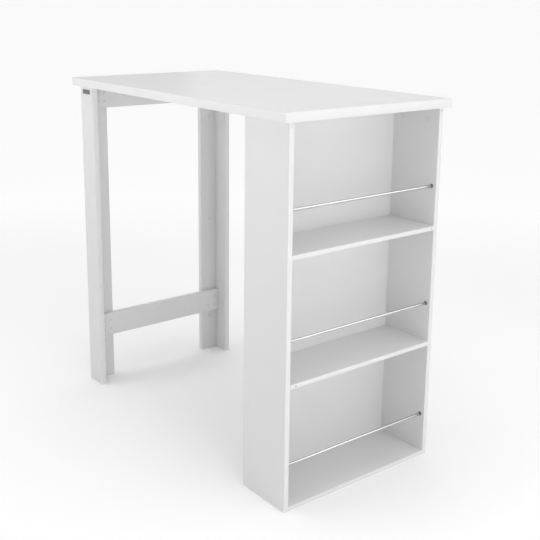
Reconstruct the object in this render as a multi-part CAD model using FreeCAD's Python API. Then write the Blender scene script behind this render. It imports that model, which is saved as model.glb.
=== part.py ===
import FreeCAD, Part
import os
from FreeCAD import Vector

# Bar-height kitchen table: a thick top, an open storage cabinet under one end
# and a frame of two L-shaped legs under the other, all in flat faced boards
# pulled together by cam locks.
#
# Frame: +X towards the cabinet end, +Y across the table, +Z up. The origin is
# on the floor under the middle of the top. Every size is in millimetres.

# Tabletop
TOP_LENGTH = 1120.0
TOP_WIDTH = 585.0
TOP_HEIGHT = 1060.0
TOP_THICKNESS = 25.0
TOP_BAND = 1.5
TOP_ARRIS = 0.8
SIDE_OVERHANG = 20.0
CABINET_END_OVERHANG = 10.0

# Cabinet
CABINET_DEPTH = 180.0
SIDE_BOARD = 15.0
SHELF_BOARD = 12.0
BACK_BOARD = 3.0
BACK_INSET = 5.0
BACK_TONGUE = 4.0
GROOVE_CLEARANCE = 0.2
COMPARTMENTS = 3

# Leg frame
LEG_BOARD = 18.0
LEG_FACE_WIDTH = 80.0
LEG_RETURN_WIDTH = 66.0
APRON_HEIGHT = 76.0
STRETCHER_HEIGHT = 80.0
STRETCHER_FLOOR_GAP = 158.0

# Strip glued on the edges that stay in sight
BAND = 1.0
BAND_ARRIS = 0.8

# Guard rails across the front of each compartment
RAIL_RADIUS = 4.0
RAIL_ABOVE_SHELF = 113.0
RAIL_SETBACK = 16.0
RAIL_END_DEPTH = 7.0
SOCKET_FLANGE_RADIUS = 6.0
SOCKET_FLANGE = 2.0
SOCKET_SLEEVE_RADIUS = 5.2
SOCKET_SLEEVE = 9.0
SLIP = 0.05

# Cam fittings, large for the thick boards and small for the shelves
LARGE_CAM = {"node": "cam", "radius": 7.5, "depth": 12.5, "cap": 8.5, "shaft": 2.3, "head": 3.4,
             "thread": 3.0, "grip": 11.0, "bore": 4.0}
SMALL_CAM = {"node": "shelf_cam", "radius": 6.0, "depth": 9.5, "cap": 7.0, "shaft": 1.8, "head": 2.6,
             "thread": 2.5, "grip": 10.0, "bore": 3.0}
HEAD_LENGTH = 3.5
CAM_SINK = 0.5
CAP_THICKNESS = 1.0
CAP_SPIGOT_RADIUS = 1.6
CAP_SPIGOT = 1.6
DRIVER_RECESS_RADIUS = 2.0
DRIVER_RECESS = 2.6
TOP_REACH = 34.0
LEG_REACH = 28.0
RAIL_BOARD_REACH = 20.0
SHELF_REACH = 24.0
CAM_PITCH = 96.0
APRON_CAM_OFFSET = 130.0
LEG_CAM_HEIGHTS = (134.0, 515.0, 900.0)
LEG_DOWEL_HEIGHTS = (325.0, 707.0)
ROW_PITCH = 32.0

# Wooden dowels
DOWEL_RADIUS = 4.0
SHELF_DOWEL_RADIUS = 3.0
DOWEL_IN_EDGE = 19.0
DOWEL_IN_FACE = 10.0

# Countersunk screws through the apron and the stretcher into the legs
SCREW_FROM_END = 48.0
SCREW_LENGTH = 31.0
SCREW_RADIUS = 2.0
SCREW_HEAD_RADIUS = 4.2
SCREW_HEAD = 2.6
SCREW_SLOT_LENGTH = 4.6
SCREW_SLOT_WIDTH = 1.0
SCREW_SLOT_DEPTH = 1.4

# Blank plate on the front leg and small pins in the cabinet's front edges
PLATE_WIDTH = 48.0
PLATE_HEIGHT = 14.5
PLATE_THICKNESS = 1.0
PLATE_CORNER = 1.5
PLATE_BELOW_TOP = 19.0
PIN_RADIUS = 2.2
PIN_LENGTH = 12.0
PIN_PROUD = 0.3
PIN_BELOW_TOP = 8.0
UPPER_PIN_FROM_PANEL = 10.0
LOWER_PIN_FROM_PANEL = 19.0

# Levels and planes that follow from the sizes above
UNDERSIDE = TOP_HEIGHT - TOP_THICKNESS
BODY_HALF = TOP_WIDTH / 2 - SIDE_OVERHANG
CABINET_FACE = TOP_LENGTH / 2 - CABINET_END_OVERHANG
CABINET_REAR = CABINET_FACE - CABINET_DEPTH
CABINET_MIDDLE = (CABINET_FACE + CABINET_REAR) / 2
BACK_REAR = CABINET_REAR + BACK_INSET
BACK_FACE = BACK_REAR + BACK_BOARD
PANEL_INNER = BODY_HALF - SIDE_BOARD
COMPARTMENT_HEIGHT = (UNDERSIDE - COMPARTMENTS * SHELF_BOARD) / COMPARTMENTS
SHELF_LEVELS = [i * (COMPARTMENT_HEIGHT + SHELF_BOARD) for i in range(COMPARTMENTS)]
LEG_END = -TOP_LENGTH / 2 + SIDE_OVERHANG
LEG_EDGE = LEG_END + LEG_FACE_WIDTH
RETURN_FACE = LEG_END + LEG_BOARD
RAIL_BOARD_FACE = RETURN_FACE + LEG_BOARD
LEG_INNER = BODY_HALF - LEG_BOARD
RETURN_EDGE = LEG_INNER - LEG_RETURN_WIDTH

X = Vector(1, 0, 0)
Y = Vector(0, 1, 0)
Z = Vector(0, 0, 1)

pieces = {}
cuts = {}


def add(node, solid):
    """Put one solid into a node; a node with several solids is a group of like pieces."""
    pieces.setdefault(node, []).append(solid)


def cut(node, tool):
    """Note a hole or groove to take out of every solid of a node."""
    cuts.setdefault(node, []).append(tool)


def box(low, high):
    """A block between two opposite corners."""
    return Part.makeBox(high[0] - low[0], high[1] - low[1], high[2] - low[2], Vector(*low))


def rod(start, direction, radius, length):
    """A round bar that starts at a point and runs along a direction."""
    return Part.makeCylinder(radius, length, start, direction)


def edge_strip(low, high, axis, side, thickness=BAND, arris=BAND_ARRIS, round_ends=False):
    """The glued strip on one edge of a board, its long outer arrises rounded, the short ones if asked."""
    strip_low, strip_high = list(low), list(high)
    if side > 0:
        strip_low[axis] = high[axis] - thickness
    else:
        strip_high[axis] = low[axis] + thickness
    strip = box(strip_low, strip_high)
    outer = high[axis] if side > 0 else low[axis]
    longest = max(h - l for l, h in zip(strip_low, strip_high))
    arrises = [e for e in strip.Edges if all(abs(v.Point[axis] - outer) < SLIP for v in e.Vertexes)]
    if not round_ends:
        arrises = [e for e in arrises if abs(e.Length - longest) < SLIP]
    return strip.makeFillet(arris, arrises)


def board(node, low, high, band_node=None, banded=()):
    """A flat board; each banded edge, given as (axis, side), gives up its outer layer to a strip."""
    core_low, core_high = list(low), list(high)
    for axis, side in banded:
        add(band_node, edge_strip(low, high, axis, side))
        if side > 0:
            core_high[axis] -= BAND
        else:
            core_low[axis] += BAND
    add(node, box(core_low, core_high))


def cam_body(cam, mouth, inward, axis_point, towards):
    """The cam lock: a short drum, open towards the bolt, with a driver recess in its face."""
    drum = rod(mouth + inward * CAM_SINK, inward, cam["radius"] - SLIP, cam["depth"] - CAM_SINK)
    pocket_length = cam["radius"] + HEAD_LENGTH
    pocket = rod(axis_point - towards * HEAD_LENGTH, towards, cam["head"] + 2 * SLIP, pocket_length)
    recess = rod(mouth, inward, DRIVER_RECESS_RADIUS, CAM_SINK + DRIVER_RECESS)
    return drum.cut(pocket).cut(recess)


def cam_bolt(cam, axis_point, towards, reach):
    """The bolt that the cam pulls on: head inside the drum, shaft, and thread in the other board."""
    head = rod(axis_point - towards * (HEAD_LENGTH / 2), towards, cam["head"], HEAD_LENGTH)
    shaft = rod(axis_point, towards, cam["shaft"], reach)
    thread = rod(axis_point + towards * reach, towards, cam["thread"], cam["grip"])
    return head.fuse(shaft).fuse(thread).removeSplitter()


def cam_cap(cam, mouth, outward):
    """The press-in cap that hides a cam."""
    disc = rod(mouth, outward, cam["cap"], CAP_THICKNESS)
    rim = [e for e in disc.Edges if (e.BoundBox.Center - mouth).dot(outward) > CAP_THICKNESS / 2]
    disc = disc.makeFillet(CAP_THICKNESS / 2, [e for e in rim if len(e.Vertexes) == 1])
    spigot = rod(mouth, outward * -1, CAP_SPIGOT_RADIUS, CAP_SPIGOT)
    return disc.fuse(spigot)


def cam_joint(cam, holder, mate, mouth, outward, towards, reach, thickness, capped=True):
    """Join two boards: a cam in the holder's face at mouth, its bolt screwed into the mate."""
    inward = outward * -1
    axis_point = mouth + inward * (thickness / 2)
    joint_point = axis_point + towards * reach
    cut(holder, rod(mouth, inward, cam["radius"], cam["depth"]))
    cut(holder, rod(axis_point, towards, cam["bore"], reach))
    cut(mate, rod(joint_point, towards, cam["thread"] + SLIP, cam["grip"] + SLIP))
    add(cam["node"] + "_locks", cam_body(cam, mouth, inward, axis_point, towards))
    add(cam["node"] + "_bolts", cam_bolt(cam, axis_point, towards, reach))
    if capped:
        add(cam["node"] + "_caps", cam_cap(cam, mouth, outward))


def dowel_joint(node, radius, edge_node, face_node, joint_point, towards):
    """A glued dowel: most of it in one board's edge, the rest in the face of the other."""
    start = joint_point - towards * DOWEL_IN_EDGE
    cut(edge_node, rod(start - towards, towards, radius + SLIP, DOWEL_IN_EDGE + 1))
    cut(face_node, rod(joint_point, towards, radius + SLIP, DOWEL_IN_FACE + SLIP))
    add(node, rod(start, towards, radius, DOWEL_IN_EDGE + DOWEL_IN_FACE))


def make_tabletop():
    """The top's core with four thick strips; the end strips cover the ends of the side strips."""
    low = [-TOP_LENGTH / 2, -TOP_WIDTH / 2, UNDERSIDE]
    high = [TOP_LENGTH / 2, TOP_WIDTH / 2, TOP_HEIGHT]
    for axis in (0, 1):
        for side in (-1, 1):
            add("tabletop_edge_band", edge_strip(low, high, axis, side, TOP_BAND, TOP_ARRIS, axis == 0))
        low[axis] += TOP_BAND
        high[axis] -= TOP_BAND
    add("tabletop", box(low, high))


def make_side_panels():
    """The cabinet's two uprights, grooved for the back and held to the top by two cams each."""
    for name, side in (("side_panel_front", -1), ("side_panel_rear", 1)):
        ys = sorted((side * BODY_HALF, side * PANEL_INNER))
        board(name, (CABINET_REAR, ys[0], 0), (CABINET_FACE, ys[1], UNDERSIDE),
              "cabinet_edge_bands", ((0, 1), (0, -1)))
        for offset in (-CAM_PITCH / 2, CAM_PITCH / 2):
            mouth = Vector(CABINET_MIDDLE + offset, side * PANEL_INNER, UNDERSIDE - TOP_REACH)
            cam_joint(LARGE_CAM, name, "tabletop", mouth, Y * -side, Z, TOP_REACH, SIDE_BOARD)
        top_edge = Vector(CABINET_MIDDLE, side * (PANEL_INNER + SIDE_BOARD / 2), UNDERSIDE)
        dowel_joint("dowels", DOWEL_RADIUS, name, "tabletop", top_edge, Z)


def make_shelves():
    """The bottom board and the two shelves, each held to the uprights by cams under its ends."""
    names = ("base_board", "shelf_lower", "shelf_upper")
    for name, level in zip(names, SHELF_LEVELS):
        is_base = name == "base_board"
        rear = CABINET_REAR if is_base else BACK_FACE
        banded = ((0, 1), (0, -1)) if is_base else ((0, 1),)
        board(name, (rear, -PANEL_INNER, level), (CABINET_FACE, PANEL_INNER, level + SHELF_BOARD),
              "cabinet_edge_bands", banded)
        for panel, side in (("side_panel_front", -1), ("side_panel_rear", 1)):
            for offset in (-CAM_PITCH / 2, CAM_PITCH / 2):
                mouth = Vector(CABINET_MIDDLE + offset, side * (PANEL_INNER - SHELF_REACH), level)
                cam_joint(SMALL_CAM, name, panel, mouth, Z * -1, Y * side, SHELF_REACH, SHELF_BOARD,
                          capped=not is_base)
            end = Vector(CABINET_MIDDLE, side * PANEL_INNER, level + SHELF_BOARD / 2)
            dowel_joint("shelf_dowels", SHELF_DOWEL_RADIUS, name, panel, end, Y * side)


def make_back_panel():
    """The thin back, its tongue let into the uprights and the bottom board."""
    half = PANEL_INNER + BACK_TONGUE
    foot = SHELF_BOARD - BACK_TONGUE
    add("back_panel", box((BACK_REAR, -half, foot), (BACK_FACE, half, UNDERSIDE)))
    groove = box((BACK_REAR - GROOVE_CLEARANCE, -half - GROOVE_CLEARANCE, foot - GROOVE_CLEARANCE),
                 (BACK_FACE + GROOVE_CLEARANCE, half + GROOVE_CLEARANCE, UNDERSIDE))
    for node in ("side_panel_front", "side_panel_rear", "base_board"):
        cut(node, groove)


def make_guard_rails():
    """A round metal rail and its two sockets across the front of each compartment."""
    names = ("guard_rail_lower", "guard_rail_middle", "guard_rail_upper")
    half = PANEL_INNER + RAIL_END_DEPTH
    for name, level in zip(names, SHELF_LEVELS):
        centre = Vector(CABINET_FACE - RAIL_SETBACK, 0, level + SHELF_BOARD + RAIL_ABOVE_SHELF)
        bar = rod(centre - Y * half, Y, RAIL_RADIUS, 2 * half)
        add(name, bar)
        for panel, side in (("side_panel_front", -1), ("side_panel_rear", 1)):
            wall = centre + Y * (side * PANEL_INNER)
            flange = rod(wall, Y * -side, SOCKET_FLANGE_RADIUS, SOCKET_FLANGE)
            sleeve = rod(wall, Y * side, SOCKET_SLEEVE_RADIUS, SOCKET_SLEEVE)
            bore = rod(wall - Y * (side * SOCKET_FLANGE), Y * side, RAIL_RADIUS + SLIP,
                       SOCKET_FLANGE + RAIL_END_DEPTH + SLIP)
            add("guard_rail_sockets", flange.fuse(sleeve).cut(bore))
            cut(panel, rod(wall, Y * side, SOCKET_SLEEVE_RADIUS + SLIP, SOCKET_SLEEVE + SLIP))


def make_legs():
    """Two L-shaped legs: a wide face board and a return board cammed to its inner face."""
    for end, side in (("front", -1), ("rear", 1)):
        face, back = "leg_" + end + "_face", "leg_" + end + "_return"
        ys = sorted((side * BODY_HALF, side * LEG_INNER))
        board(face, (LEG_END, ys[0], 0), (LEG_EDGE, ys[1], UNDERSIDE), "leg_edge_bands", ((0, 1), (0, -1)))
        ys = sorted((side * LEG_INNER, side * RETURN_EDGE))
        board(back, (LEG_END, ys[0], 0), (RETURN_FACE, ys[1], UNDERSIDE), "leg_edge_bands", ((1, -side),))
        for height in LEG_CAM_HEIGHTS:
            mouth = Vector(RETURN_FACE, side * (LEG_INNER - LEG_REACH), height)
            cam_joint(LARGE_CAM, back, face, mouth, X, Y * side, LEG_REACH, LEG_BOARD)
        for height in LEG_DOWEL_HEIGHTS:
            joint = Vector(RETURN_FACE - LEG_BOARD / 2, side * LEG_INNER, height)
            dowel_joint("dowels", DOWEL_RADIUS, back, face, joint, Y * side)
        face_top = Vector((LEG_END + LEG_EDGE) / 2, side * (LEG_INNER + LEG_BOARD / 2), UNDERSIDE)
        dowel_joint("dowels", DOWEL_RADIUS, face, "tabletop", face_top, Z)
        return_top = Vector(RETURN_FACE - LEG_BOARD / 2, side * (LEG_INNER + RETURN_EDGE) / 2, UNDERSIDE)
        dowel_joint("dowels", DOWEL_RADIUS, back, "tabletop", return_top, Z)


def screw(head_point, direction):
    """A countersunk wood screw with a cross recess."""
    head = Part.makeCone(SCREW_HEAD_RADIUS, SCREW_RADIUS, SCREW_HEAD, head_point, direction)
    shank = rod(head_point, direction, SCREW_RADIUS, SCREW_LENGTH)
    body = head.fuse(shank).removeSplitter()
    depth, long, wide = SCREW_SLOT_DEPTH, SCREW_SLOT_LENGTH / 2, SCREW_SLOT_WIDTH / 2
    for across, up in ((long, wide), (wide, long)):
        low = (head_point.x - depth, head_point.y - across, head_point.z - up)
        high = (head_point.x + depth, head_point.y + across, head_point.z + up)
        body = body.cut(box(low, high))
    return body


def screw_joint(rail_node, leg_node, head_point):
    """Screw a rail board to the return board behind it."""
    direction = X * -1
    wide, narrow = SCREW_HEAD_RADIUS + SLIP, SCREW_RADIUS + SLIP
    countersink = Part.makeCone(wide, narrow, SCREW_HEAD, head_point, direction)
    hole = rod(head_point, direction, narrow, SCREW_LENGTH + SLIP)
    cut(rail_node, countersink.fuse(hole))
    cut(leg_node, hole)
    add("rail_screws", screw(head_point, direction))


def make_rail_board(node, low_z, high_z, banded):
    """A board across the leg frame: cams pull it to the face boards, screws to the return boards."""
    low, high = (RETURN_FACE, -LEG_INNER, low_z), (RAIL_BOARD_FACE, LEG_INNER, high_z)
    board(node, low, high, "rail_edge_bands", banded)
    middle = (low_z + high_z) / 2
    for end, side in (("front", -1), ("rear", 1)):
        for height in (middle - ROW_PITCH / 2, middle + ROW_PITCH / 2):
            mouth = Vector(RAIL_BOARD_FACE, side * (LEG_INNER - RAIL_BOARD_REACH), height)
            mate = "leg_" + end + "_face"
            cam_joint(LARGE_CAM, node, mate, mouth, X, Y * side, RAIL_BOARD_REACH, LEG_BOARD)
            head_point = Vector(RAIL_BOARD_FACE, side * (LEG_INNER - SCREW_FROM_END), height)
            screw_joint(node, "leg_" + end + "_return", head_point)


def make_leg_rails():
    """The apron under the top, cammed up into it, and the stretcher near the floor."""
    make_rail_board("apron", UNDERSIDE - APRON_HEIGHT, UNDERSIDE, ((2, -1),))
    for side in (-1, 1):
        mouth = Vector(RAIL_BOARD_FACE, side * APRON_CAM_OFFSET, UNDERSIDE - TOP_REACH)
        cam_joint(LARGE_CAM, "apron", "tabletop", mouth, X, Z, TOP_REACH, LEG_BOARD)
    top = STRETCHER_FLOOR_GAP + STRETCHER_HEIGHT
    make_rail_board("stretcher", STRETCHER_FLOOR_GAP, top, ((2, 1), (2, -1)))


def make_plate():
    """The small blank plate on the outside of the front leg."""
    middle_x = (LEG_END + LEG_EDGE) / 2
    middle_z = UNDERSIDE - PLATE_BELOW_TOP
    plate = box((middle_x - PLATE_WIDTH / 2, -BODY_HALF - PLATE_THICKNESS, middle_z - PLATE_HEIGHT / 2),
                (middle_x + PLATE_WIDTH / 2, -BODY_HALF, middle_z + PLATE_HEIGHT / 2))
    corners = [e for e in plate.Edges if abs(e.Length - PLATE_THICKNESS) < SLIP]
    add("blank_plate", plate.makeFillet(PLATE_CORNER, corners))


def make_edge_pins():
    """Four small pins let into the cabinet's front edges."""
    spots = (
        ("side_panel_front", -PANEL_INNER - SIDE_BOARD / 2, UNDERSIDE - PIN_BELOW_TOP),
        ("side_panel_rear", PANEL_INNER + SIDE_BOARD / 2, UNDERSIDE - PIN_BELOW_TOP),
        ("shelf_upper", PANEL_INNER - UPPER_PIN_FROM_PANEL, SHELF_LEVELS[2] + SHELF_BOARD / 2),
        ("shelf_lower", -PANEL_INNER + LOWER_PIN_FROM_PANEL, SHELF_LEVELS[1] + SHELF_BOARD / 2),
    )
    for node, y, z in spots:
        start = Vector(CABINET_FACE - PIN_LENGTH, y, z)
        add("edge_pins", rod(start, X, PIN_RADIUS, PIN_LENGTH + PIN_PROUD))
        hole = rod(start - X * SLIP, X, PIN_RADIUS + SLIP, PIN_LENGTH + 2 * SLIP)
        cut(node, hole)
        cut("cabinet_edge_bands", hole)


def drilled(node, solid):
    """A solid with the holes and grooves of its node taken out."""
    tools = [t for t in cuts.get(node, []) if t.BoundBox.intersect(solid.BoundBox)]
    return solid.cut(tools) if tools else solid


make_tabletop()
make_side_panels()
make_shelves()
make_back_panel()
make_guard_rails()
make_legs()
make_leg_rails()
make_plate()
make_edge_pins()

os.makedirs("parts", exist_ok=True)
for node, solids in pieces.items():
    finished = [drilled(node, solid) for solid in solids]
    shape = finished[0] if len(finished) == 1 else Part.makeCompound(finished)
    shape.exportStep("parts/" + node + ".step")
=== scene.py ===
import bpy
from math import radians, sin
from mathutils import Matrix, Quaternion, Vector


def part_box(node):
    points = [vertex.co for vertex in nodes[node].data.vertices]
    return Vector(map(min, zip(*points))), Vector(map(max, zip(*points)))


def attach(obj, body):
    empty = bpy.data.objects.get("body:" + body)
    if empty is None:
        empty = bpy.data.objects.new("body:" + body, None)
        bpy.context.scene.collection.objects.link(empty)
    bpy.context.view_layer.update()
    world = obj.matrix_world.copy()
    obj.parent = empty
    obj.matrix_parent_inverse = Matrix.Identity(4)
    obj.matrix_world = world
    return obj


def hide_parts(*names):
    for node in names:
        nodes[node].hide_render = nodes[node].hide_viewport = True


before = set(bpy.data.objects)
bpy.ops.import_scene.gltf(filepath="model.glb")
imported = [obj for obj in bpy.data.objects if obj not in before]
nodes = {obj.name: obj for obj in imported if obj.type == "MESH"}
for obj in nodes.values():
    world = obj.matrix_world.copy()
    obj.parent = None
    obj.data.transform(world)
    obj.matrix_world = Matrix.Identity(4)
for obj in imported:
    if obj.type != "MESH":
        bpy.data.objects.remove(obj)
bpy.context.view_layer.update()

# The looks of a bar-height kitchen table with a storage cabinet. Everything is in metres, in the frame's
# axes: +X towards the cabinet end, +Y across the table, +Z up.

MM = 0.001
X, Y, Z = Vector((1, 0, 0)), Vector((0, 1, 0)), Vector((0, 0, 1))

# Picking: how near a point has to be to a place, how much of a direction has to lie along an axis, and how
# far out on a round piece its rim begins, as a part of the radius. Points nearer than SAME_POINT are merged.
NEAR = 0.01 * MM
IN_LINE = 0.9
ON_RIM = 0.97
SAME_POINT = 0.001 * MM

# Camera, with its roll in degrees and its lens in millimetres
CAMERA_PLACE = Vector((2.2096, -1.6358, 1.3270))
CAMERA_FORWARD = Vector((-0.7658, 0.6026, -0.2244))
CAMERA_ROLL = 0.64
CAMERA_LENS = 60.49
CAMERA_SHIFT = -0.12

# Studio: the floor glows a little away from the table, from one distance on and fully from the next. The
# surround is as bright as the floor near the horizon, and changes between two heights in degrees to each new
# level. A soft lamp has a place, a point that it is turned to, a width, a height and a power in watts. It may
# also have the angle of its cone in degrees, and the one kind of surface that shows it. The low lamp at the
# cabinet end is narrowed to a cone, so that it leaves no bright edge on the floor. The one near the side
# doesn't show in gloss, and the one for the rails is a card that shows in nothing else.
FLOOR_SIZE = 1600.0
FLOOR_BELOW = 0.1 * MM
FLOOR_WHITE = 0.96
FLOOR_CLOUDS = 0.004
FLOOR_GLOW = 0.12
GLOW_START = 1.0
GLOW_FULL = 3.5
HORIZON_LIGHT = 0.96
SURROUND = ((10, 15, 0.25), (42, 50, 1.25), (60, 70, 1.87))
TABLE_MIDDLE = Vector((0, 0, 0.6))
LAMPS = {
    "lamp_side": (Vector((-1.41, -2.44, 1.63)), TABLE_MIDDLE, 1.6, 1.6, 3.0),
    "lamp_side_near": (Vector((-0.15, -0.95, 1.2)), Vector((-0.15, -0.27, 0.95)), 1.8, 0.3, 2.3, 180, "matt"),
    "lamp_end_low": (Vector((2.9, -0.8, 0.95)), TABLE_MIDDLE, 1.6, 1.1, 5.2, 100),
    "lamp_end_high": (Vector((2.1, 0, 2.7)), TABLE_MIDDLE, 1.6, 1.6, 8.5),
    "lamp_end_near": (Vector((2.0, 0.2, 0.5)), Vector((0.55, 0, 0.5)), 1.0, 0.8, 1.0),
    "lamp_rails": (Vector((2.2, 1.8, 1.95)), TABLE_MIDDLE, 2.4, 2.4, 36.0, 180, "gloss"),
    "lamp_back": (Vector((-2.0, 2.0, 1.63)), TABLE_MIDDLE, 1.6, 1.6, 2.0),
}

# Each board's thickness runs along one axis, and a strip is glued on each banded edge, named by its axis and
# side.
BOARDS = {
    "tabletop": (2, ((0, -1), (0, 1), (1, -1), (1, 1))),
    "side_panel_front": (1, ((0, -1), (0, 1))),
    "side_panel_rear": (1, ((0, -1), (0, 1))),
    "base_board": (2, ((0, -1), (0, 1))),
    "shelf_lower": (2, ((0, 1),)),
    "shelf_upper": (2, ((0, 1),)),
    "back_panel": (0, ()),
    "leg_front_face": (1, ((0, -1), (0, 1))),
    "leg_rear_face": (1, ((0, -1), (0, 1))),
    "leg_front_return": (0, ((1, 1),)),
    "leg_rear_return": (0, ((1, -1),)),
    "apron": (0, ((2, -1),)),
    "stretcher": (0, ((2, -1), (2, 1))),
}
STRIPPED = {
    "cabinet_edge_bands": ("side_panel_front", "side_panel_rear", "base_board", "shelf_lower", "shelf_upper"),
    "leg_edge_bands": ("leg_front_face", "leg_rear_face", "leg_front_return", "leg_rear_return"),
    "rail_edge_bands": ("apron", "stretcher"),
}
STRIP = 1.0 * MM
STRIP_ROUNDING = 0.8 * MM
STRIP_GAP = 0.15 * MM

# Boards: how deep the laminate ends and the core begins, and how far from its strip a glue line fades out
SKIN = 0.12 * MM
SKIN_END = SKIN * 1.4
GLUE_LINE = 0.08 * MM
GLUE_LINE_END = GLUE_LINE * 1.6

# Guard rails and their sockets
RAIL_SIDES = 56
RAIL_END_RING = 0.6
RAIL_END_ROUNDING = 0.7 * MM
SOCKET_SIDES = 40
SOCKET_FLANGE = 6.0 * MM
SOCKET_PROUD = 2.0 * MM
SOCKET_ROUNDING = 0.7 * MM
SOCKET_LIP = 4.6 * MM
SOCKET_LIP_SUNK = 0.25 * MM
SOCKET_BORE = 4.05 * MM
SOCKET_BORE_DEPTH = 9.05 * MM
SOCKET_SLEEVE = 5.2 * MM
SOCKET_SLEEVE_DEPTH = 9.0 * MM

# Cover caps, by node, and their shape: the crown's width is a part of the radius, its rise a part of the dish
CAP_RADII = {"cam_caps": 8.5 * MM, "shelf_cam_caps": 7.0 * MM}
CAP_SIDES = 48
CAP_THICKNESS = 1.0 * MM
CAP_ROUNDING = 0.5 * MM
CAP_RIM = 1.3 * MM
CAP_DISH = 0.18 * MM
CAP_CROWN = 0.6
CAP_CROWN_RISE = 0.7
CAP_SPIGOT = 1.6 * MM
CAP_SPIGOT_DEPTH = 1.6 * MM
CAP_SPIGOT_TAPER = 0.85

# Screws
SCREW_SIDES = 32
SCREW_HEAD = 4.2 * MM
SCREW_RIM = 0.3 * MM
SCREW_ROUNDING = 0.15 * MM
SCREW_SHANK = 2.0 * MM
SCREW_CORE = 1.5 * MM
SCREW_CONE = 2.6 * MM
SCREW_LENGTH = 31.0 * MM
SCREW_PLAIN = 9.0 * MM
SCREW_POINT = 4.0 * MM
SCREW_TIP = 0.12
THREAD_PITCH = 1.5 * MM
THREAD_FLANK = THREAD_PITCH * 0.3
THREAD_ROOT = THREAD_PITCH * 0.4
CROSS_LENGTH = 4.2 * MM
CROSS_WIDTH = 0.9 * MM
CROSS_DEPTH = 1.1 * MM
CROSS_TAPER = 0.7

# Plate and pins
PLATE_CORNER = 1.5 * MM
PLATE_ROUNDING = 0.25 * MM
PLATE_RIM = 0.9 * MM
PLATE_SUNK = 0.3 * MM
PIN_SIDES = 28
PIN_ROUNDING = 0.25 * MM
PIN_RIM = 0.35
PIN_DISH = 0.12 * MM
# Painted light: a pin on the front upright above this height is painted nearly white, as if more light fell
# on it
PAINTED_LIT_PIN_ABOVE = 0.9


# --- Modelling -------------------------------------------------------------------------------------------

def begin(name, add_shape, **size):
    """Adds a shape with nothing else selected, and puts its place in its mesh."""
    bpy.ops.object.select_all(action="DESELECT")
    add_shape(**size)
    piece = bpy.context.object
    piece.name = piece.data.name = name
    bpy.ops.object.transform_apply(location=True, rotation=True, scale=True)
    return piece


def block(name, low, high):
    """A block between two corners."""
    return begin(name, bpy.ops.mesh.primitive_cube_add, size=1, location=(low + high) / 2, scale=high - low)


def disc(name, radius, bottom, top, sides):
    """A round blank on the Z axis, between two heights."""
    return begin(name, bpy.ops.mesh.primitive_cylinder_add, vertices=sides, radius=radius, depth=top - bottom,
                 location=(0, 0, (top + bottom) / 2))


def pick_faces(piece, test):
    """Selects, in edit mode, only the faces whose centre and normal pass the test."""
    bpy.ops.object.mode_set(mode="EDIT")
    bpy.ops.mesh.select_mode(type="FACE")
    bpy.ops.mesh.select_all(action="DESELECT")
    bpy.ops.object.mode_set(mode="OBJECT")
    for face in piece.data.polygons:
        face.select = test(face.center, face.normal)
    bpy.ops.object.mode_set(mode="EDIT")


def pick_edges(piece, test):
    """Selects, in edit mode, only the edges whose middle and direction pass the test."""
    bpy.ops.object.mode_set(mode="EDIT")
    bpy.ops.mesh.select_mode(type="EDGE")
    bpy.ops.mesh.select_all(action="DESELECT")
    bpy.ops.object.mode_set(mode="OBJECT")
    points = piece.data.vertices
    for edge in piece.data.edges:
        start, end = (points[i].co for i in edge.vertices)
        edge.select = test((start + end) / 2, (end - start).normalized())
    bpy.ops.object.mode_set(mode="EDIT")


def round_over(width, segments):
    """Rounds the picked edges."""
    bpy.ops.mesh.bevel(offset=width, segments=segments, affect="EDGES", clamp_overlap=False)


def push(distance, shrink=1.0):
    """Extrudes the picked faces along Z, and may narrow them towards the axis."""
    bpy.ops.mesh.extrude_region_move(TRANSFORM_OT_translate={"value": (0, 0, distance)})
    if shrink != 1.0:
        bpy.ops.transform.resize(value=(shrink, shrink, 1), center_override=(0, 0, 0))


def close_up(piece, smooth=30):
    """Turns every face outwards, leaves edit mode and shades edges up to an angle in degrees smooth."""
    bpy.ops.object.mode_set(mode="EDIT")
    bpy.ops.mesh.select_all(action="SELECT")
    bpy.ops.mesh.normals_make_consistent(inside=False)
    bpy.ops.object.mode_set(mode="OBJECT")
    bpy.ops.object.select_all(action="DESELECT")
    piece.select_set(True)
    bpy.context.view_layer.objects.active = piece
    bpy.ops.object.shade_smooth_by_angle(angle=radians(smooth))
    return piece


def copy_to(master, spot, outward):
    """A copy with its own mesh, moved to a spot and turned so that its Z axis faces outward."""
    bpy.ops.object.select_all(action="DESELECT")
    master.select_set(True)
    bpy.context.view_layer.objects.active = master
    bpy.ops.object.duplicate(linked=False)
    copy = bpy.context.object
    copy.rotation_mode = "QUATERNION"
    copy.rotation_quaternion = Z.rotation_difference(outward)
    copy.location = spot
    bpy.ops.object.transform_apply(location=True, rotation=True, scale=True)
    return copy


def joined(name, parts):
    """Several parts of one kind as one piece."""
    bpy.ops.object.select_all(action="DESELECT")
    for part in parts:
        part.select_set(True)
    bpy.context.view_layer.objects.active = parts[0]
    bpy.ops.object.join()
    parts[0].name = parts[0].data.name = name
    return parts[0]


def fitted(name, master, spots):
    """Copies of a fitting at each spot, as one piece. The master itself is thrown away."""
    group = joined(name, [copy_to(master, spot, outward) for spot, outward in spots])
    bpy.data.objects.remove(master)
    return group


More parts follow.
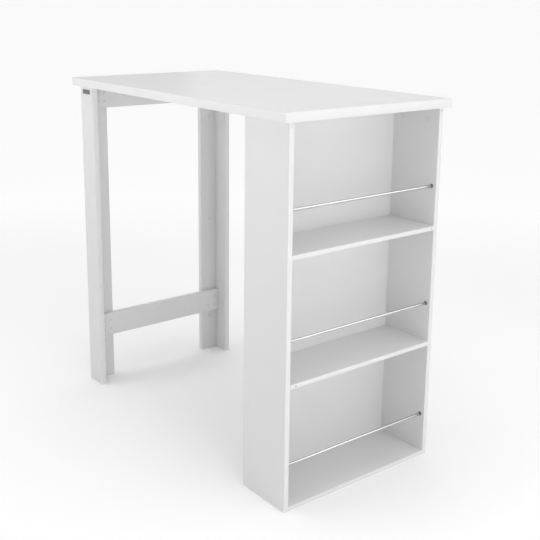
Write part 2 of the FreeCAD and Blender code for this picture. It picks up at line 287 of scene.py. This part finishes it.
def fittings_in(node):
    """The low and high corner of each separate fitting in a group node, in a fixed order."""
    bpy.ops.object.select_all(action="DESELECT")
    nodes[node].select_set(True)
    bpy.context.view_layer.objects.active = nodes[node]
    bpy.ops.object.duplicate(linked=False)
    bpy.ops.object.mode_set(mode="EDIT")
    bpy.ops.mesh.select_all(action="SELECT")
    bpy.ops.mesh.remove_doubles(threshold=SAME_POINT)
    bpy.ops.mesh.separate(type="LOOSE")
    bpy.ops.object.mode_set(mode="OBJECT")
    boxes = []
    for solid in bpy.context.selected_objects:
        points = [point.co for point in solid.data.vertices]
        low, high = (Vector(limit(p[axis] for p in points) for axis in range(3)) for limit in (min, max))
        boxes.append((low, high))
    bpy.ops.object.delete()
    return sorted(boxes, key=lambda box: [round(value, 4) for value in (*box[0], *box[1])])


def middle_on(box, axis, level):
    """The middle of a fitting, moved along one axis to the level of the face that it sits in."""
    spot = Vector([(low + high) / 2 for low, high in zip(*box)])
    spot[axis] = level
    return spot


def cap_spots(node):
    """Where each cover cap lies on its board, and which way it faces."""
    spots = []
    for low, high in fittings_in(node):
        middle, size = (low + high) / 2, high - low
        axis = min(range(3), key=lambda i: size[i])
        if axis == 0:
            spots.append((Vector((high.x - CAP_THICKNESS, middle.y, middle.z)), X))
        elif axis == 2:
            spots.append((Vector((middle.x, middle.y, low.z + CAP_THICKNESS)), -Z))
        elif middle.y > 0:
            spots.append((Vector((middle.x, low.y + CAP_THICKNESS, middle.z)), -Y))
        else:
            spots.append((Vector((middle.x, high.y - CAP_THICKNESS, middle.z)), Y))
    return spots


def edge_strip(low, high, axis, side, cut_ends=False, round_ends=False):
    """A strip on a board's edge. Its long outer edges are rounded, and its ends may be rounded or eased."""
    outer = high[axis] if side > 0 else low[axis]
    size = high - low
    run = max(range(3), key=lambda i: size[i])
    strip = block("strip", low, high)

    def on_outside(middle, along):
        return abs(middle[axis] - outer) < NEAR and (round_ends or abs(along[run]) > IN_LINE)

    def at_an_end(middle, along):
        to_end = min(middle[run] - low[run], high[run] - middle[run])
        return abs(along[run]) < IN_LINE and to_end < NEAR

    pick_edges(strip, on_outside)
    round_over(STRIP_ROUNDING, segments=4)
    if cut_ends:
        pick_edges(strip, at_an_end)
        round_over(STRIP_GAP, segments=1)
    return close_up(strip)


def board_strip(board, axis, side):
    """The strip that is glued on one edge of a board."""
    low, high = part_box(board)
    if side > 0:
        low[axis] = high[axis]
        high[axis] += STRIP
    else:
        high[axis] = low[axis]
        low[axis] -= STRIP
    return edge_strip(low, high, axis, side)


def edge_strips(name, boards):
    """All the strips of one part of the table, as one piece."""
    return joined(name, [board_strip(board, *edge) for board in boards for edge in BOARDS[board][1]])


def tabletop_band():
    """Two strips across the ends of the tabletop, and two along its sides between them."""
    low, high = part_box("tabletop_edge_band")
    core_low, core_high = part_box("tabletop")
    strips = []
    for side, start, end in ((-1, low.x, core_low.x), (1, core_high.x, high.x)):
        corners = Vector((start, low.y, low.z)), Vector((end, high.y, high.z))
        strips.append(edge_strip(*corners, 0, side, round_ends=True))
    for side, start, end in ((-1, low.y, core_low.y), (1, core_high.y, high.y)):
        corners = Vector((core_low.x, start, low.z)), Vector((core_high.x, end, high.z))
        strips.append(edge_strip(*corners, 1, side, cut_ends=True))
    return joined("tabletop_band", strips)


def guard_rail(name, node):
    """A round bar whose flat ends have a rounded rim."""
    low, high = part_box(node)
    middle, radius = (low + high) / 2, (high.x - low.x) / 2
    bar = begin(name, bpy.ops.mesh.primitive_cylinder_add, vertices=RAIL_SIDES, radius=radius,
                depth=high.y - low.y, location=middle, rotation=(radians(90), 0, 0))
    pick_faces(bar, lambda centre, normal: abs(normal.y) > IN_LINE)
    bpy.ops.mesh.inset(thickness=radius * RAIL_END_RING)
    pick_edges(bar, lambda centre, along: abs(centre.y) > high.y - NEAR
               and (centre - Vector((middle.x, centre.y, middle.z))).length > radius * ON_RIM)
    round_over(RAIL_END_ROUNDING, segments=3)
    return close_up(bar)


def rail_socket():
    """A wall socket: a round flange with a sunk lip round its bore, and a sleeve behind it."""
    socket = disc("socket", SOCKET_FLANGE, 0, SOCKET_PROUD, SOCKET_SIDES)
    pick_faces(socket, lambda centre, normal: normal.z > IN_LINE)
    bpy.ops.mesh.inset(thickness=SOCKET_FLANGE - SOCKET_LIP)
    bpy.ops.transform.translate(value=(0, 0, -SOCKET_LIP_SUNK))
    bpy.ops.mesh.inset(thickness=SOCKET_LIP - SOCKET_BORE)
    push(-SOCKET_BORE_DEPTH)
    pick_faces(socket, lambda centre, normal: normal.z < -IN_LINE)
    bpy.ops.mesh.inset(thickness=SOCKET_FLANGE - SOCKET_SLEEVE)
    push(-SOCKET_SLEEVE_DEPTH)
    pick_edges(socket, lambda middle, along: middle.z > SOCKET_PROUD - NEAR
               and middle.xy.length > SOCKET_FLANGE * ON_RIM)
    round_over(SOCKET_ROUNDING, segments=4)
    return close_up(socket, smooth=40)


def cover_cap(radius):
    """A press-in cover cap: a round rim, a shallow dish with a slight crown, and a short spigot behind."""
    cap = disc("cap", radius, 0, CAP_THICKNESS, CAP_SIDES)
    pick_faces(cap, lambda centre, normal: normal.z > IN_LINE)
    bpy.ops.mesh.inset(thickness=CAP_RIM)
    bpy.ops.mesh.inset(thickness=CAP_DISH * 2)
    bpy.ops.transform.translate(value=(0, 0, -CAP_DISH))
    bpy.ops.mesh.inset(thickness=radius * CAP_CROWN)
    bpy.ops.transform.translate(value=(0, 0, CAP_DISH * CAP_CROWN_RISE))
    pick_faces(cap, lambda centre, normal: normal.z < -IN_LINE)
    bpy.ops.mesh.inset(thickness=radius - CAP_SPIGOT)
    push(-CAP_SPIGOT_DEPTH, CAP_SPIGOT_TAPER)
    pick_edges(cap, lambda middle, along: middle.z > CAP_THICKNESS - NEAR
               and middle.xy.length > radius * ON_RIM)
    round_over(CAP_ROUNDING, segments=4)
    return close_up(cap, smooth=40)


def cross_bit():
    """The tapered cross that is sunk in a screw's head, as its two arms."""
    half, wide = CROSS_LENGTH / 2, CROSS_WIDTH / 2
    arms = []
    for across, up in ((half, wide), (wide, half)):
        arm = block("arm", Vector((-across, -up, -CROSS_DEPTH)), Vector((across, up, CROSS_DEPTH)))
        pick_faces(arm, lambda centre, normal: normal.z < -IN_LINE)
        bpy.ops.transform.resize(value=(CROSS_TAPER, CROSS_TAPER, 1), center_override=(0, 0, -CROSS_DEPTH))
        arms.append(close_up(arm))
    return arms


def wood_screw():
    """A countersunk screw with a cross recess, a plain neck, a thread and a point."""
    screw = disc("screw", SCREW_HEAD, -SCREW_RIM, 0, SCREW_SIDES)
    pick_faces(screw, lambda centre, normal: normal.z < -IN_LINE)
    push(SCREW_RIM - SCREW_CONE, SCREW_SHANK / SCREW_HEAD)
    push(SCREW_CONE - SCREW_PLAIN)
    depth = SCREW_PLAIN
    while depth + THREAD_PITCH < SCREW_LENGTH - SCREW_POINT:
        push(-THREAD_FLANK, SCREW_CORE / SCREW_SHANK)
        push(-THREAD_ROOT)
        push(-THREAD_FLANK, SCREW_SHANK / SCREW_CORE)
        depth += THREAD_PITCH
    push(-(SCREW_LENGTH - depth), SCREW_TIP)
    pick_edges(screw, lambda middle, along: middle.z > -NEAR)
    round_over(SCREW_ROUNDING, segments=2)
    close_up(screw, smooth=40)
    for arm in cross_bit():
        bpy.ops.object.select_all(action="DESELECT")
        screw.select_set(True)
        bpy.context.view_layer.objects.active = screw
        recess = screw.modifiers.new("recess", "BOOLEAN")
        recess.operation, recess.solver, recess.object = "DIFFERENCE", "EXACT", arm
        bpy.ops.object.modifier_apply(modifier=recess.name)
        bpy.data.objects.remove(arm)
    return close_up(screw, smooth=40)


def blank_plate():
    """A small plate with round corners, a fine rim and a plain sunk field."""
    low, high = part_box("blank_plate")
    plate = block("plain_plate", low, high)
    pick_edges(plate, lambda middle, along: abs(along.y) > IN_LINE)
    round_over(PLATE_CORNER, segments=5)
    pick_faces(plate, lambda centre, normal: normal.y < -IN_LINE)
    bpy.ops.mesh.inset(thickness=PLATE_RIM)
    bpy.ops.mesh.inset(thickness=PLATE_SUNK)
    bpy.ops.transform.translate(value=(0, PLATE_SUNK, 0))
    field = Vector(((low.x + high.x) / 2, 0, (low.z + high.z) / 2))
    reach = Vector((high.x - field.x - PLATE_RIM / 2, 0, high.z - field.z - PLATE_RIM / 2))
    pick_edges(plate, lambda middle, along: middle.y < low.y + NEAR
               and (abs(middle.x - field.x) > reach.x or abs(middle.z - field.z) > reach.z))
    round_over(PLATE_ROUNDING, segments=3)
    return close_up(plate)


def edge_pin(length, radius, proud):
    """A small round pin whose head has a rounded edge and a shallow dish."""
    pin = disc("pin", radius, proud - length, proud, PIN_SIDES)
    pick_edges(pin, lambda middle, along: middle.z > proud - NEAR)
    round_over(PIN_ROUNDING, segments=3)
    pick_faces(pin, lambda centre, normal: normal.z > IN_LINE)
    bpy.ops.mesh.inset(thickness=radius * PIN_RIM)
    bpy.ops.transform.translate(value=(0, 0, -PIN_DISH))
    return close_up(pin, smooth=40)


# --- Finishes --------------------------------------------------------------------------------------------

class Signal:
    """A number that varies over a finish. Sums on signals add the nodes that work them out."""

    def __init__(self, finish, socket):
        self.finish, self.socket = finish, socket

    def __add__(self, other):
        return self.finish.sum_of("ADD", self, other)

    __radd__ = __add__

    def __sub__(self, other):
        return self.finish.sum_of("SUBTRACT", self, other)

    def __rsub__(self, other):
        return self.finish.sum_of("SUBTRACT", other, self)

    def __mul__(self, other):
        return self.finish.sum_of("MULTIPLY", self, other)

    __rmul__ = __mul__

    def at_most(self, other):
        return self.finish.sum_of("MINIMUM", self, other)


class Shading:
    """A node tree in the making."""

    def __init__(self, tree, coordinates):
        self.tree = tree
        self.tree.nodes.clear()
        self.place = self.node("TexCoord", output=coordinates)

    def node(self, kind, settings=None, sockets=None, output=0):
        """Adds a node: its settings first, then the values or links of its sockets."""
        made = self.tree.nodes.new("ShaderNode" + kind)
        for name, value in (settings or {}).items():
            setattr(made, name, value)
        for name, value in (sockets or {}).items():
            if isinstance(value, Signal):
                self.tree.links.new(value.socket, made.inputs[name])
            else:
                made.inputs[name].default_value = value
        return Signal(self, made.outputs[output]) if made.outputs else None

    def sum_of(self, operation, first, second):
        return self.node("Math", {"operation": operation}, {0: first, 1: second})

    def axes(self):
        """How far along X, Y and Z a point lies."""
        split = self.node("SeparateXYZ", sockets={"Vector": self.place}).socket.node
        return [Signal(self, socket) for socket in split.outputs]

    def rise(self, signal, low, high, bottom=0.0, top=1.0):
        """A soft step from bottom to top as the signal goes from low to high."""
        return self.node("MapRange", {"interpolation_type": "SMOOTHSTEP"},
                         {"Value": signal, "From Min": low, "From Max": high,
                          "To Min": bottom, "To Max": top})


class Finish(Shading):
    """A material in the making, on one piece or on several of one kind."""

    def __init__(self, name):
        self.material = bpy.data.materials.new(name)
        self.material.use_nodes = True
        super().__init__(self.material.node_tree, "Object")

    def noise(self, size, detail=2.0, roughness=0.5, stretch=(1, 1, 1)):
        """Noise in patches about this many metres across, drawn out along an axis by stretch."""
        spread = self.node("Mapping", {"vector_type": "POINT"},
                           {"Vector": self.place, "Scale": [1 / (size * s) for s in stretch]})
        return self.node("TexNoise", {"noise_dimensions": "3D"},
                         {"Vector": spread, "Scale": 1.0, "Detail": detail, "Roughness": roughness})

    def clouds(self, size, detail=2.0, low=0.35, high=0.65):
        """Noise with its middle range spread out, so that its patches go all the way from 0 to 1."""
        return self.rise(self.noise(size, detail), low, high)

    def tint(self, factor, first, second):
        """One colour turning into another."""
        return self.node("Mix", {"data_type": "RGBA"}, {0: factor, 6: first, 7: second}, output=2)

    def relief(self, height, depth):
        """Bumps as deep as this many metres."""
        return self.node("Bump", sockets={"Height": height, "Distance": depth})

    def done(self, **sockets):
        """Puts the shader on the material."""
        values = {name.replace("_", " "): value for name, value in sockets.items()}
        shader = self.node("BsdfPrincipled", sockets=values)
        self.node("OutputMaterial", sockets={"Surface": shader})
        return self.material


def grey(value):
    return (value, value, value, 1)


# Shades that turn into each other in patches, and the single shades that go with them
LAMINATE_WHITE = (grey(0.713), grey(0.721))
BAND_WHITE = (grey(0.738), grey(0.746))
GLUE = grey(0.56)
CHIPS = ((0.24, 0.15, 0.08, 1), (0.66, 0.50, 0.33, 1))
FIBRES = ((0.20, 0.12, 0.06, 1), (0.38, 0.25, 0.15, 1))
PIN_GREY = (grey(0.34), grey(0.42))
# Painted light: the nearly white shade of the pin at the top of the front upright, as if it were lit more
# than the other pins
PAINTED_LIT_PIN = grey(0.66)
BEECH_WOOD = ((0.50, 0.32, 0.17, 1), (0.68, 0.48, 0.29, 1))
BEECH_FLECK = (0.30, 0.17, 0.08, 1)

# Metals and moulded plastics: their colours, and how much wider than its fine marks the patches are in which
# a surface is a little darker
CHROME = (0.55, 0.55, 0.56)
ZINC_PLATE = (0.64, 0.65, 0.67)
CAST_ZINC = (0.56, 0.57, 0.58)
DARK_PLATE = (0.20, 0.20, 0.21)
SOCKET_GREY = (0.16, 0.165, 0.17)
CAP_GREY = (0.69, 0.69, 0.69)
METAL_PATCHES = 18
METAL_DARKER = 0.94
PLASTIC_PATCHES = 25
PLASTIC_DARKER = 0.95


def white_board(board):
    """White laminate on both broad faces of a board, and bare pressed wood chips wherever it is cut."""
    finish = Finish("white_laminate_" + board)
    thickness, banded = BOARDS[board]
    low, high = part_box(board)
    axes = finish.axes()
    depth = (axes[thickness] - low[thickness]).at_most(high[thickness] - axes[thickness])
    core = finish.rise(depth, SKIN, SKIN_END)

    white = finish.tint(finish.clouds(0.22), *LAMINATE_WHITE)
    chips = finish.tint(finish.noise(2.2 * MM, 4.0, 0.65, (1, 1, 0.5)), *CHIPS)
    for axis, side in banded:
        edge = high[axis] - axes[axis] if side > 0 else axes[axis] - low[axis]
        white = finish.tint(finish.rise(edge, GLUE_LINE, GLUE_LINE_END), GLUE, white)
    pearl = finish.noise(6.0 * MM, 1.0)
    smudges = finish.clouds(0.09, 3.0, high=0.75)
    crumbs = finish.noise(1.4 * MM, 3.0, 0.6)
    return finish.done(
        Base_Color=finish.tint(core, white, chips),
        Roughness=0.285 + smudges * 0.025 + core * 0.5,
        Normal=finish.relief(pearl * 0.03 + core * crumbs, 0.2 * MM),
    )


def back_board():
    """The thin back: a matter white lacquer over brown hardboard, which shows wherever it is cut."""
    finish = Finish("white_back_board")
    low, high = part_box("back_panel")
    along = finish.axes()[0]
    core = finish.rise((along - low.x).at_most(high.x - along), SKIN, SKIN_END)
    white = finish.tint(finish.clouds(0.3), *BAND_WHITE)
    fibres = finish.tint(finish.noise(0.6 * MM, 3.0, 0.6), *FIBRES)
    grain = finish.noise(1.1 * MM)
    return finish.done(
        Base_Color=finish.tint(core, white, fibres),
        Roughness=0.38 + grain * 0.04 + core * 0.4,
        Normal=finish.relief(grain, 0.003 * MM),
    )


def edge_banding(name):
    """The plastic of the glued strips: a little whiter and duller than the laminate, with a fine grain."""
    finish = Finish(name)
    clouds = finish.clouds(0.12)
    grain = finish.noise(0.8 * MM)
    return finish.done(
        Base_Color=finish.tint(clouds, *BAND_WHITE),
        Roughness=0.34 + grain * 0.05,
        Normal=finish.relief(grain, 0.003 * MM),
    )


def metal(name, colour, roughness, streak, depth, stretch=(1, 1, 1)):
    """A bare or plated metal with fine marks, which stretch may draw out along its length."""
    finish = Finish(name)
    marks = finish.noise(streak, 3.0, 0.6, stretch)
    patches = finish.clouds(streak * METAL_PATCHES, low=0.3, high=0.7)
    return finish.done(
        Base_Color=finish.tint(patches, [c * METAL_DARKER for c in colour] + [1], [*colour, 1]),
        Metallic=1.0,
        Roughness=roughness + (marks - 0.5) * roughness * 0.6,
        Normal=finish.relief(marks, depth),
    )


def moulded(name, colour, roughness, grain, depth):
    """Moulded plastic with a fine spark-eroded grain."""
    finish = Finish(name)
    sparks = finish.noise(grain, 2.0, 0.6)
    patches = finish.clouds(grain * PLASTIC_PATCHES, low=0.3, high=0.7)
    return finish.done(
        Base_Color=finish.tint(patches, [c * PLASTIC_DARKER for c in colour] + [1], [*colour, 1]),
        Roughness=roughness + (sparks - 0.5) * 0.12,
        Normal=finish.relief(sparks, depth),
    )


def pin_plastic():
    """The pins are grey, but the one at the top of the front upright is painted nearly white, as painted
    light, as if more light fell on it than on the others.
    """
    finish = Finish("grey_pin_plastic")
    _, across, height = finish.axes()
    # Painted light: 1 on the pin at the top of the front upright, which gets the nearly white shade, 0 on the
    # other pins
    pale = finish.rise(height, PAINTED_LIT_PIN_ABOVE, PAINTED_LIT_PIN_ABOVE + MM) * finish.rise(across, 0, MM, 1, 0)
    sparks = finish.noise(0.3 * MM, 2.0, 0.6)
    return finish.done(
        Base_Color=finish.tint(pale, finish.tint(sparks, *PIN_GREY), PAINTED_LIT_PIN),
        Roughness=0.42 + sparks * 0.1,
        Normal=finish.relief(sparks, 0.01 * MM),
    )


def beech():
    """Pale beech with short dark flecks."""
    finish = Finish("beech")
    grain = finish.noise(1.2 * MM, 3.0, 0.6, (1, 1, 4))
    flecks = finish.rise(finish.noise(0.5 * MM, 1.0, 0.5, (1, 1, 5)), 0.62, 0.72)
    wood = finish.tint(grain, *BEECH_WOOD)
    return finish.done(
        Base_Color=finish.tint(flecks, wood, BEECH_FLECK),
        Roughness=0.6 + grain * 0.15,
        Normal=finish.relief(grain, 0.04 * MM),
    )


def floor_paint():
    """The studio's pale floor, which glows a little away from the table, where the lamps don't reach."""
    finish = Finish("studio_floor")
    along, across, _ = finish.axes()
    away = finish.rise(along * along + across * across, GLOW_START ** 2, GLOW_FULL ** 2)
    clouds = finish.clouds(1.5, low=0.3, high=0.7)
    return finish.done(
        Base_Color=finish.tint(clouds, grey(FLOOR_WHITE - FLOOR_CLOUDS), grey(FLOOR_WHITE)),
        Roughness=0.9,
        Specular_IOR_Level=0.1,
        Emission_Color=finish.tint(away, grey(0.0), grey(1.0)),
        Emission_Strength=FLOOR_GLOW,
    )


def coat(piece, material):
    """Puts one material on the whole of a piece."""
    piece.data.materials.clear()
    piece.data.materials.append(material)


def coat_node(node, material):
    """Gives a carried-over node its material in every slot."""
    for slot in nodes[node].material_slots:
        slot.material = material


def install(piece, material, node):
    """Finishes a new piece and lets it stand for its node."""
    coat(piece, material)
    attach(piece, "root")
    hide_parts(node)


# --- Studio ----------------------------------------------------------------------------------------------

def soft_lamp(name, place, aim, width, height, power, spread=180, shows_in="both"):
    """A panel of soft light, turned towards a point, and not seen itself."""
    turn = (aim - place).to_track_quat("-Z", "Y")
    bpy.ops.object.light_add(type="AREA", location=place, rotation=turn.to_euler())
    lamp = bpy.context.object
    lamp.name = lamp.data.name = name
    lamp.data.shape = "RECTANGLE"
    lamp.data.size, lamp.data.size_y = width, height
    lamp.data.energy = power
    lamp.data.spread = radians(spread)
    lamp.visible_camera = False
    lamp.visible_diffuse = shows_in != "gloss"
    lamp.visible_glossy = shows_in != "matt"


def surround():
    """A white surround: as bright as the floor near the horizon, dim above it and brightest overhead."""
    world = bpy.data.worlds.new("surround")
    world.use_nodes = True
    shading = Shading(world.node_tree, "Generated")
    height = shading.axes()[2]
    light = level = HORIZON_LIGHT
    for start, end, next_level in SURROUND:
        light = light + shading.rise(height, sin(radians(start)), sin(radians(end))) * (next_level - level)
        level = next_level
    sky = shading.node("Background", sockets={"Color": grey(1.0), "Strength": light})
    shading.node("OutputWorld", sockets={"Surface": sky})
    bpy.context.scene.world = world


def set_studio():
    """A pale floor, a white surround and soft lamps."""
    floor = begin("studio_floor", bpy.ops.mesh.primitive_plane_add, size=FLOOR_SIZE,
                  location=(0, 0, -FLOOR_BELOW))
    coat(floor, floor_paint())
    surround()
    for name, settings in LAMPS.items():
        soft_lamp(name, *settings)
    bpy.context.scene.view_settings.view_transform = "Standard"


def set_camera():
    """The camera stands off the cabinet's front corner, a little above the top."""
    turn = CAMERA_FORWARD.to_track_quat("-Z", "Y") @ Quaternion((0, 0, 1), radians(CAMERA_ROLL))
    bpy.ops.object.camera_add(location=CAMERA_PLACE, rotation=turn.to_euler())
    camera = bpy.context.object
    camera.name = camera.data.name = "camera"
    camera.data.lens = CAMERA_LENS
    camera.data.shift_y = CAMERA_SHIFT
    bpy.context.scene.camera = camera


# --- The table -------------------------------------------------------------------------------------------

set_camera()
set_studio()

for board in BOARDS:
    coat_node(board, back_board() if board == "back_panel" else white_board(board))

banding = edge_banding("white_edge_band")
install(tabletop_band(), banding, "tabletop_edge_band")
for node, boards in STRIPPED.items():
    install(edge_strips(node + "_rounded", boards), banding, node)

chrome = metal("chromed_steel", CHROME, roughness=0.16, streak=0.4 * MM, depth=0.001 * MM, stretch=(1, 40, 1))
for level in ("lower", "middle", "upper"):
    node = "guard_rail_" + level
    install(guard_rail("chromed_rail_" + level, node), chrome, node)

front_wall, rear_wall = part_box("side_panel_front")[1].y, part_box("side_panel_rear")[0].y
socket_spots = []
for box in fittings_in("guard_rail_sockets"):
    wall, inward = (front_wall, Y) if box[1].y < 0 else (rear_wall, -Y)
    socket_spots.append((middle_on(box, 1, wall), inward))
socket_plastic = moulded("dark_socket_plastic", SOCKET_GREY, roughness=0.42, grain=0.3 * MM, depth=0.02 * MM)
install(fitted("rail_sockets", rail_socket(), socket_spots), socket_plastic, "guard_rail_sockets")

cap_plastic = moulded("pale_grey_cap_plastic", CAP_GREY, roughness=0.36, grain=0.35 * MM, depth=0.015 * MM)
for node, radius in CAP_RADII.items():
    spots = cap_spots(node)
    install(fitted("cover_" + node, cover_cap(radius), spots), cap_plastic, node)

screw_spots = [(middle_on(box, 0, box[1].x), X) for box in fittings_in("rail_screws")]
zinc_plate = metal("zinc_plated_steel", ZINC_PLATE, roughness=0.36, streak=0.3 * MM, depth=0.006 * MM)
install(fitted("countersunk_screws", wood_screw(), screw_spots), zinc_plate, "rail_screws")

dark_plate = metal("dark_brushed_plate", DARK_PLATE, roughness=0.38, streak=0.25 * MM, depth=0.01 * MM,
                   stretch=(60, 1, 1))
install(blank_plate(), dark_plate, "blank_plate")

pin_boxes = fittings_in("edge_pins")
pin_low, pin_high = pin_boxes[0]
pin_radius, pin_length = (pin_high.y - pin_low.y) / 2, pin_high.x - pin_low.x
front_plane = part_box("cabinet_edge_bands")[1].x
pin_spots = [(middle_on(box, 0, front_plane), X) for box in pin_boxes]
install(fitted("round_edge_pins", edge_pin(pin_length, pin_radius, pin_high.x - front_plane), pin_spots),
        pin_plastic(), "edge_pins")

die_cast = metal("die_cast_zinc", CAST_ZINC, roughness=0.48, streak=0.5 * MM, depth=0.03 * MM)
for node in ("cam_locks", "shelf_cam_locks"):
    coat_node(node, die_cast)
for node in ("cam_bolts", "shelf_cam_bolts"):
    coat_node(node, zinc_plate)
wood = beech()
for node in ("dowels", "shelf_dowels"):
    coat_node(node, wood)
